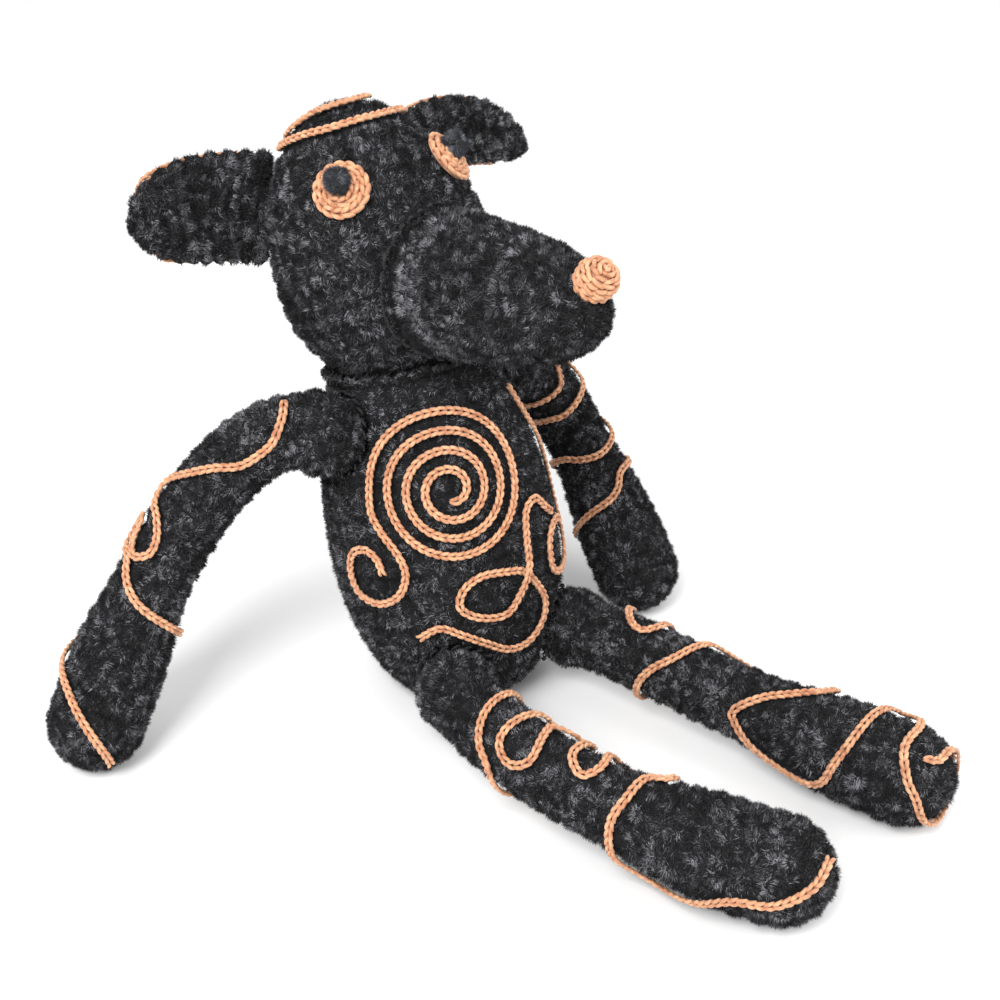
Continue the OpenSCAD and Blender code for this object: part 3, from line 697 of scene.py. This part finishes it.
def snout_skin(u, degrees, out=0.0):
    """The snout from the middle of its base, inside the head, to its tip.

    The base is flat up to u = 0.12, and past it the distance is the sine of the rest.
    The sewing draws the snout in where it leaves the head.
    """
    x = snout_length * np.sin(np.pi / 2 * np.clip((u - snout_flat) / (1 - snout_flat), 0, 1))
    drawn = snout_draw * np.exp(-(past_head(on_snout(x, degrees)) / snout_draw_reach) ** 2)
    points = on_snout(x, degrees, out - drawn)
    middle = snout_base + snout_way * snout_base_depth
    return middle + (points - middle) * np.clip(u / snout_flat, 0, 1)[..., None]


def clear_of_head(points):
    """True where a point lies outside the head's own pile."""
    sunk = 2
    away = points - neck_ball
    h = away @ head_up
    r = np.linalg.norm(away - h[:, None] * head_up, axis=1)
    return (h / (crown_height - sunk)) ** 2 + (r / (head_radius - sunk)) ** 2 > 1


def head_painted_crease_shade(points):
    """Painted shade: darkens the head's pile close to the snout, where the snout shades it."""
    return -0.45 * np.exp(-(beside_snout(points) / 5.0) ** 2)


def snout_painted_crease_shade_and_ridge_light(points):
    """Painted shade and light: darkens the snout's pile in the crease, as its shadow, and lightens
    the ridge 8 mm past it, as the light it catches.
    """
    past = past_head(points)
    return 0.2 * np.exp(-((past - 8) / 4.0) ** 2) - 0.5 * np.exp(-(past / 3.5) ** 2)


# Where the snout leaves the head, the sewn crease is drawn in and holds no pile.
along = np.arange(0, 30, 0.25)
crease = []
for degrees in np.arange(-180, 181, 2.0):
    line = on_snout(along, np.full(len(along), degrees))
    crease.append(line[np.argmax(clear_of_head(line))])
crease = np.array(crease)
chain_beds["snout_crease"] = crease
# The head's pile is painted darker beside the snout, as the snout's shade.
pile_piece("head_pile", "head", head_knit, 180000, 22,
           chains=("head_chain", "snout_crease"), tint=head_painted_crease_shade)

snout_knit = crocheted(snout_skin, 31)
padded_piece("snout_fabric", ["snout_skin", "snout_stuffing"], "head", snout_knit[0], 140)
# The snout's pile is painted darker in the crease and lighter on the ridge past it, as shade and
# light.
pile_piece("snout_pile", "head", snout_knit, 115000, 32, keep=clear_of_head,
           chains=("snout_crease",), tint=snout_painted_crease_shade_and_ridge_light)

# ---- arms and legs ------------------------------------------------------------
# Each limb is a thin stuffed tube that widens into a round hand or foot. Its root
# is a ball that turns in the body's dent. The limbs bend gently where they fell
# when the dog was set down.

arm_radius, hand_radius = 12.0, 15.8
leg_radius, foot_radius = 12.0, 16.2
limb_root_radius = 14.0
paw_from, paw_over = 0.55, 0.33
limb_stations = 91
deep_in_dent = -11


def limb_line(root, leave, guide, end):
    """A limb's centre line as stations: distances, centres, directions, tops and sides.

    It is a four-point curve, and each top is the one before it, turned with the curve.
    """
    p = [root, root + leave, np.array(guide, float), np.array(end, float)]
    t = np.linspace(0, 1, limb_stations)[:, None]
    centre = ((1 - t) ** 3 * p[0] + 3 * t * (1 - t) ** 2 * p[1] + 3 * t * t * (1 - t) * p[2]
              + t ** 3 * p[3])
    way = (1 - t) ** 2 * (p[1] - p[0]) + 2 * t * (1 - t) * (p[2] - p[1]) + t * t * (p[3] - p[2])
    way /= np.linalg.norm(way, axis=1, keepdims=True)
    tops = []
    top = np.array([0, 0, 1.0])
    for w in way:
        top = top - w * (top @ w)
        top = top / np.linalg.norm(top)
        tops.append(top)
    run = np.concatenate([[0], np.cumsum(np.linalg.norm(np.diff(centre, axis=0), axis=1))])
    return run, centre, way, np.array(tops), np.cross(way, tops)


def limb_surface(line, radius, paw):
    """A limb's points at distances and angles, and the same from u = 0 to u = 1.

    The radius is a root ball's, then the tube's, then widens by t^2 (3 - 2t) to the
    paw's and ends as a half sphere.
    """
    run, *tracks = line
    length = run[-1]

    def on_limb(x, degrees, out=0.0):
        inside = np.clip(x, 0, length)
        centre, way, top, side = (
            np.stack([np.interp(inside, run, track[:, i]) for i in range(3)], -1)
            for track in tracks)
        t = np.clip((inside / length - paw_from) / paw_over, 0, 1)
        tube = radius + (paw - radius) * t * t * (3 - 2 * t) + out
        ball, tip = limb_root_radius + out, paw + out
        r = np.where(x > length, np.sqrt(np.clip(tip ** 2 - (x - length) ** 2, 0, None)),
                     np.maximum(np.where(x > 0, tube, 0) * (x > 0.5 * radius),
                                np.sqrt(np.clip(ball ** 2 - x ** 2, 0, None))))
        a = np.radians(degrees)[..., None]
        return (centre + way * (x - inside)[..., None]
                + (top * np.cos(a) + side * np.sin(a)) * r[..., None])

    def limb_skin(u, degrees, out=0.0):
        first, last = -limb_root_radius, length + paw
        x = first + (last - first) * u
        grow = np.where(x < 0, x / limb_root_radius, np.where(x > length, (x - length) / paw, 0))
        return on_limb(x + out * grow, degrees, out)
    return on_limb, limb_skin


def outside_body(centre, out):
    """A test that is true where a point of a limb does not lie deep inside the body's dent."""
    return lambda points: (points - centre) @ out > deep_in_dent


limb_shapes = {
    "right_arm": (pivot["right_shoulder_swing"], (-13.5, 13.5, 6.5), (-77, 58, 85.5),
                  (-120.5, 50.5, hand_radius), arm_radius, hand_radius),
    "left_arm": (pivot["left_shoulder_swing"], (38, 19, -15), (94, 43, 48),
                 (77, -6, hand_radius), arm_radius, hand_radius),
    "right_leg": (pivot["right_hip_swing"], (-13, -26, 7), (-36, -90, 21),
                  (-7, -142, foot_radius + 0.8), leg_radius, foot_radius),
    "left_leg": (pivot["left_hip_swing"], (3, -26, 5), (40, -90, 18),
                 (54, -142, foot_radius + 0.8), leg_radius, foot_radius)}
# A chain winds along each limb; its way points are distance and angle.
limb_ways = {
    "right_arm": [(9, -10), (10, -45), (15, -74), (26, -78), (34, -54), (41, -30), (47, -4),
                  (51, 2), (55, -12), (57, -30), (62, -48), (68, -51), (71.5, -30), (68, -12),
                  (62, -4), (61, 10), (66, 16), (71, 4), (73, -18), (79, -39), (84, -69),
                  (87.5, -114), (91, -160), (96, -220), (104, -290), (112, -350),
                  (117.5, -387), (123, -411), (129, -435), (138, -471)],
    "left_arm": [(10, 0), (16, 50), (24, 81), (30, 100), (29.5, 123), (28, 147), (28, 190),
                 (32, 250), (38, 320), (43, 370), (47, 402), (47, 456), (47.5, 492),
                 (46, 516), (48, 560), (56, 620), (64, 690), (70, 750), (74, 789),
                 (77, 831), (75, 864), (72, 888), (73, 930), (78, 990), (83, 1060),
                 (85, 1120), (88, 1170), (95, 1190), (99, 1209), (101, 1242), (104, 1290)],
    "right_leg": [(23, -80), (26, -27), (29, 27), (33, 63), (38, 87), (41, 130), (42, 180),
                  (42, 230), (41, 290), (39.5, 324), (38, 384), (39.5, 411), (45, 423),
                  (50, 402), (47.5, 354), (47, 338), (51, 318), (55, 296), (59, 300),
                  (59, 321), (59, 366), (65, 387), (68.5, 363), (67, 318), (70, 288),
                  (80, 284), (88, 310), (88, 336), (82, 351), (80, 387), (78.5, 429),
                  (83, 490), (93, 505), (104, 484), (112, 460), (117, 450), (127, 441),
                  (136, 414), (138.5, 372)],
    "left_leg": [(129, 27), (133, 17), (134, -10), (135, -60), (136, -130), (136, -210),
                 (132, -279), (127, -306), (123, -336), (124, -369), (122, -395),
                 (117, -410), (113, -395), (110, -363), (107.5, -321), (105, -291),
                 (103, -266), (98, -250), (88, -246), (78, -254), (71, -278), (69, -297),
                 (76, -330), (84, -351), (92, -375), (94, -402), (88, -430), (76, -440),
                 (62, -430), (54, -414), (51, -399), (45, -336), (38, -294), (35, -260),
                 (34, -200), (33, -150), (33, -90), (33, -45), (33, -12), (30, 12),
                 (25, 9), (20, -18), (18, -50)]}
for seed, (limb, (root, leave, guide, end, radius, paw)) in enumerate(limb_shapes.items(), 41):
    on_limb, limb_skin = limb_surface(limb_line(root, np.array(leave), guide, end), radius, paw)
    limb_knit = crocheted(limb_skin, seed)
    padded_piece(limb + "_fabric", [limb + "_skin", limb + "_stuffing"], limb, limb_knit[0], 84)
    points = smooth_way(limb_ways[limb])
    chain_piece(limb + "_chain", limb, *surface_path(on_limb, points[:, 0], points[:, 1]))
    away = root - body_up * (body_up @ root)
    pile_piece(limb + "_pile", limb, limb_knit, 125000, seed + 20,
               keep=outside_body(root, away / np.linalg.norm(away)), chains=(limb + "_chain",))

# ---- ears ---------------------------------------------------------------------
# Each ear is a flat double flap with a round end, sewn to the side of the head
# along its root. The right ear stands out broad; the left one is narrower, longer
# and droops. A chain runs round the back of each, where only its rim shows.

ear_thick, ear_gap, ear_taper, ear_edge = 6.4, 0.5, 0.25, 0.88


def ear_surfaces(side, length, width, height, turn, lift, droop):
    """An ear's points, the closed flap round it, and its back's direction.

    A point is named by its distance from the root, a share of the half width and a
    share of the half thickness. The centre line is an arc that turns by the droop.
    """
    lift, bend = math.radians(lift), math.radians(droop)
    turn = np.array(side * turn)
    root = on_head(height, turn, ear_gap + ear_thick / 2)
    line = on_head(height + 0.5, turn) - on_head(height - 0.5, turn)
    line /= np.linalg.norm(line)
    way = np.array([side * math.cos(lift), 0, math.sin(lift)])
    way -= line * (way @ line)
    way /= np.linalg.norm(way)
    back = -side * np.cross(way, line)
    arc = length / bend

    def on_ear(x, share, depth, out=0.0):
        a = bend * np.clip(x, 0, None) / length
        t = np.clip(x / length, 0, 1)
        e = np.clip(t - 0.5, 0, None) / 0.5
        half = width / 2 * (1 - ear_taper * t * t) * np.sqrt(np.clip(1 - e ** 2.6, 0, 1))
        thick = np.where(x < 0, np.sqrt(np.clip((ear_thick / 2) ** 2 - x * x, 0, None)),
                         ear_thick / 2 * np.minimum(1, np.sqrt(np.clip(length - x, 0, None) / 4)))
        centre = (root + (way * np.sin(a)[..., None] - line * (1 - np.cos(a))[..., None]) * arc
                  + way * np.minimum(x, 0)[..., None])
        wide = line * np.cos(a)[..., None] + way * np.sin(a)[..., None]
        return (centre + wide * (share * (half + out))[..., None]
                + back * (depth * (thick + out))[..., None])

    def ear_skin(u, degrees, out=0.0):
        c, s = np.cos(np.radians(degrees)), np.sin(np.radians(degrees))
        x = -ear_thick / 2 + (length + ear_thick / 2) * u
        return on_ear(x, np.sign(c) * np.abs(c) ** 0.7, s, out)
    return on_ear, ear_skin, back


up_edge = [(t, ear_edge) for t in np.arange(0.08, 0.81, 0.09)]
ear_way = smooth_way(up_edge + [(0.87, 0.55), (0.9, 0.2), (0.9, -0.2), (0.87, -0.55)]
                     + [(t, -s) for t, s in up_edge[::-1]])
# Each ear's side, length, width, height on the head, turn, lift and droop.
ears = {"right_ear": (-1, 46, 37, 30.5, 135, -17, 23),
        "left_ear": (1, 63, 27, 33, 114, -17, 62)}
for seed, (ear, shape) in enumerate(ears.items(), 81):
    on_ear, ear_skin, back = ear_surfaces(*shape)
    ear_knit = crocheted(ear_skin, seed)
    padded_piece(ear + "_fabric", [ear], ear, ear_knit[0], 120)
    depth = np.sqrt(1 - np.abs(ear_way[:, 1]) ** 2.86)
    path = on_ear(shape[1] * ear_way[:, 0], ear_way[:, 1], depth) + back * chain_lift
    chain_piece(ear + "_chain", ear, path, np.tile(back, (len(path), 1)))
    pile_piece(ear + "_pile", ear, ear_knit, 62000, seed + 10, chains=(ear + "_chain",), length=1.9)

# ---- eyes ---------------------------------------------------------------------
# Each eye is a small disc of the caramel cotton, worked in rounds of single
# crochet and sewn down, with a fluffy puff of the charcoal yarn for a pupil.

eye_radius, eye_thick = 9.5, 2.6
pupil_radius, pupil_up, puff_core = 4.5, 1.7, 1.6
puff_shades = [pile_material("puff pile " + word, shade, 0.2)
               for word, shade in (("deep", "#2e3036"), ("mid", "#474a51"),
                                   ("grey", "#666a71"), ("pale", "#93979e"))]


def dome(centre, axis, radius, rise, thick):
    """Points and triangles of a low round cushion.

    Its radius is r sin(a), and its height rise cos(a) above and thick cos(a) below,
    for a from pole to pole.
    """
    rings, sides = 24, 64
    side = np.cross(axis, [0, 0, 1.0])
    side /= np.linalg.norm(side)
    a = np.linspace(0, np.pi, rings + 2)[1:-1, None]
    turn = np.linspace(0, 2 * np.pi, sides, endpoint=False)
    spoke = side * np.cos(turn)[:, None] + np.cross(axis, side) * np.sin(turn)[:, None]
    tall = np.where(a < np.pi / 2, rise, thick) * np.cos(a) + 0 * turn
    points = centre + spoke[None] * (radius * np.sin(a))[..., None] + axis * tall[..., None]
    points = np.concatenate([[centre + axis * rise], points.reshape(-1, 3),
                             [centre - axis * thick]])
    return points, closed_faces(rings, sides)


def rounds_piece(name, centre, axis, cushion, rounds, nodes, stitch=3.0, size=1.32):
    """A piece worked in rounds: a cushion, and on it a closed round of stitches each.

    A round is its radius, its height and the share of the axis in the way its loops face.
    """
    side = np.cross(axis, [0, 0, 1.0])
    side /= np.linalg.norm(side)
    turn = np.linspace(0, 2 * np.pi, 73)[:, None]
    spoke = side * np.cos(turn) + np.cross(axis, side) * np.sin(turn)
    points, faces = dome(centre, axis, *cushion)
    along, across, rise, thick = chain_loops()
    for radius, height, share in rounds:
        normal = axis * share + spoke * math.sqrt(1 - share ** 2)
        more, loops = loops_points(centre + spoke * radius + axis * height, normal, stitch,
                                   along, across * size, rise, thick * size * 0.94)
        points, faces = np.concatenate([points, more]), np.concatenate([faces, loops + len(points)])
    made = put_mesh(name, points, faces, [cotton])
    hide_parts(*nodes)
    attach(made, "head")
    return made


eye_cushion = (eye_radius - 1.2, 1.9, 1.5)
eye_rounds = ((eye_radius - 2.3, 1.0, 0.88), (eye_radius - 5.3, 1.7, 0.97))
for side, word, height, turn in ((-1, "right", 26.5, -44.0), (1, "left", 27.5, 32.0)):
    turn = np.array(turn)
    centre = on_head(height, turn, 0.2)
    axis = on_head(height, turn, 1.0) - on_head(height, turn, 0.0)
    rounds_piece(word + "_eye_rounds", centre, axis, eye_cushion, eye_rounds,
                 [word + "_eye_disc"])
    middle = on_head(height + pupil_up, turn, eye_thick + pupil_radius * 0.45)

    def puff(u, degrees):
        """A ball about the pupil's centre, from pole to pole."""
        a, b = np.pi * u, np.radians(degrees)
        way = np.stack([np.sin(a) * np.cos(b), np.sin(a) * np.sin(b), np.cos(a)], -1)
        return middle + way * (pupil_radius - puff_core)
    core = skin_mesh(word + "_pupil_core", puff, 24, [chenille_ground])
    fluff = pile_mesh(word + "_pupil_pile", (puff, lambda u, degrees: u * 0), 7000,
                      101 + side, length=2.5)
    for i, material in enumerate(puff_shades):
        fluff.data.materials[i] = material
    for piece in (core, fluff):
        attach(piece, "head")
    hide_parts(word + "_pupil")

# ---- nose ---------------------------------------------------------------------
# The nose is a small stuffed ball of the caramel cotton, worked in a spiral of
# single crochet and sewn on top of the snout's end.

nose_radius, nose_from_end, nose_lift = 5.2, 1.3, 11.2
nose_stitch, nose_loop = 2.8, 1.15
nose_centre = snout_base + snout_way * (snout_length - nose_from_end) + snout_top * nose_lift
nose_axis = snout_way * 0.75 + snout_top * 0.66
nose_axis /= np.linalg.norm(nose_axis)
nose_rounds = [(nose_radius * math.sin(a), nose_radius * math.cos(a), max(math.cos(a), 0))
               for a in np.radians((14, 46, 78, 108, 135))]
nose = rounds_piece("nose_rounds", nose_centre, nose_axis, (nose_radius,) * 3, nose_rounds,
                    ["nose_cover", "nose_stuffing"], nose_stitch, nose_loop)

# ---- sewing yarn --------------------------------------------------------------
# Whipped stitches of plain spun yarn join the neck, the snout, the ears and the
# limbs. They lie deep in the creases, with the pile closing over them.

# Spun polyester is dull, and its loose hairs make its dye look uneven.
spun, tree, shader = new_material("spun sewing yarn", Roughness=0.9, Specular_IOR_Level=0.2,
                                  Sheen_Weight=0.1)
yarn_dye(tree, shader, 0.0012, "#101011", "#2a2a2c")
seam_stitch, seam_half, seam_radius = 4.0, 0.8, 0.4
head_seam_half, head_seam_radius = 0.9, 0.45


def whipped(name, body, path, normal, half, radius):
    """A whipped seam along a path: one slanted loop to a stitch, across the crease."""
    t = np.linspace(0, 1, 9)[None, :]
    thick = radius * np.sin(np.pi * (0.08 + 0.84 * t)) ** 0.5
    made = put_mesh(name + "_stitches",
                    *loops_points(path, normal, seam_stitch, (t - 0.5) * 0.8,
                                  half * (2 * t - 1), 0.5 * np.sin(np.pi * t), thick), [spun])
    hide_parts(name)
    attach(made, body)


def ring_path(centre, axis, radius, out):
    """A circle about an axis and its outward normals."""
    side = np.cross(axis, [1.0, 0.2, 0.1])
    side /= np.linalg.norm(side)
    turn = np.linspace(0, 2 * np.pi, 121)[:, None]
    radial = side * np.cos(turn) + np.cross(axis, side) * np.sin(turn)
    return centre + radial * radius + axis * out, radial


neck_reach, neck_angle = 37.9, math.radians(40)
whipped("neck_seam", "neck",
        *ring_path(neck_ball, body_up, neck_reach * math.sin(neck_angle),
                   -neck_reach * math.cos(neck_angle)), seam_half, seam_radius)
root_reach, root_angle = 15.3, math.radians(60)
for side, word in ((-1, "right"), (1, "left")):
    for joint in ("shoulder", "hip"):
        swing = next(j for j in frame["joints"] if j["name"] == f"{word}_{joint}_swing")
        centre = pivot[swing["name"]]
        if joint == "shoulder":
            axis = side * np.array(swing["axis"]) * np.sign(swing["axis"][0])
        else:
            lo, hi = (np.array(p) * 1000 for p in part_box(word + "_hip_seam"))
            axis = centre - (lo + hi) / 2
            axis /= np.linalg.norm(axis)
        whipped(f"{word}_{joint}_seam", f"{word}_{joint}",
                *ring_path(centre, axis, root_reach * math.sin(root_angle),
                           -root_reach * math.cos(root_angle)), seam_half, seam_radius)
    _, _, width, height, turn, _, _ = ears[word + "_ear"]
    rise = np.linspace(-0.4, 0.4, 40) * width
    behind = 0 * rise + side * (turn + 9)
    whipped(word + "_ear_seam", "head", *surface_path(on_head, height + rise, behind, -1.2),
            head_seam_half, head_seam_radius)
out = crease - (snout_base + snout_way * 14)
outward = out / np.linalg.norm(out, axis=1, keepdims=True)
whipped("snout_seam", "head", crease + outward * 0.2, out, head_seam_half, head_seam_radius)
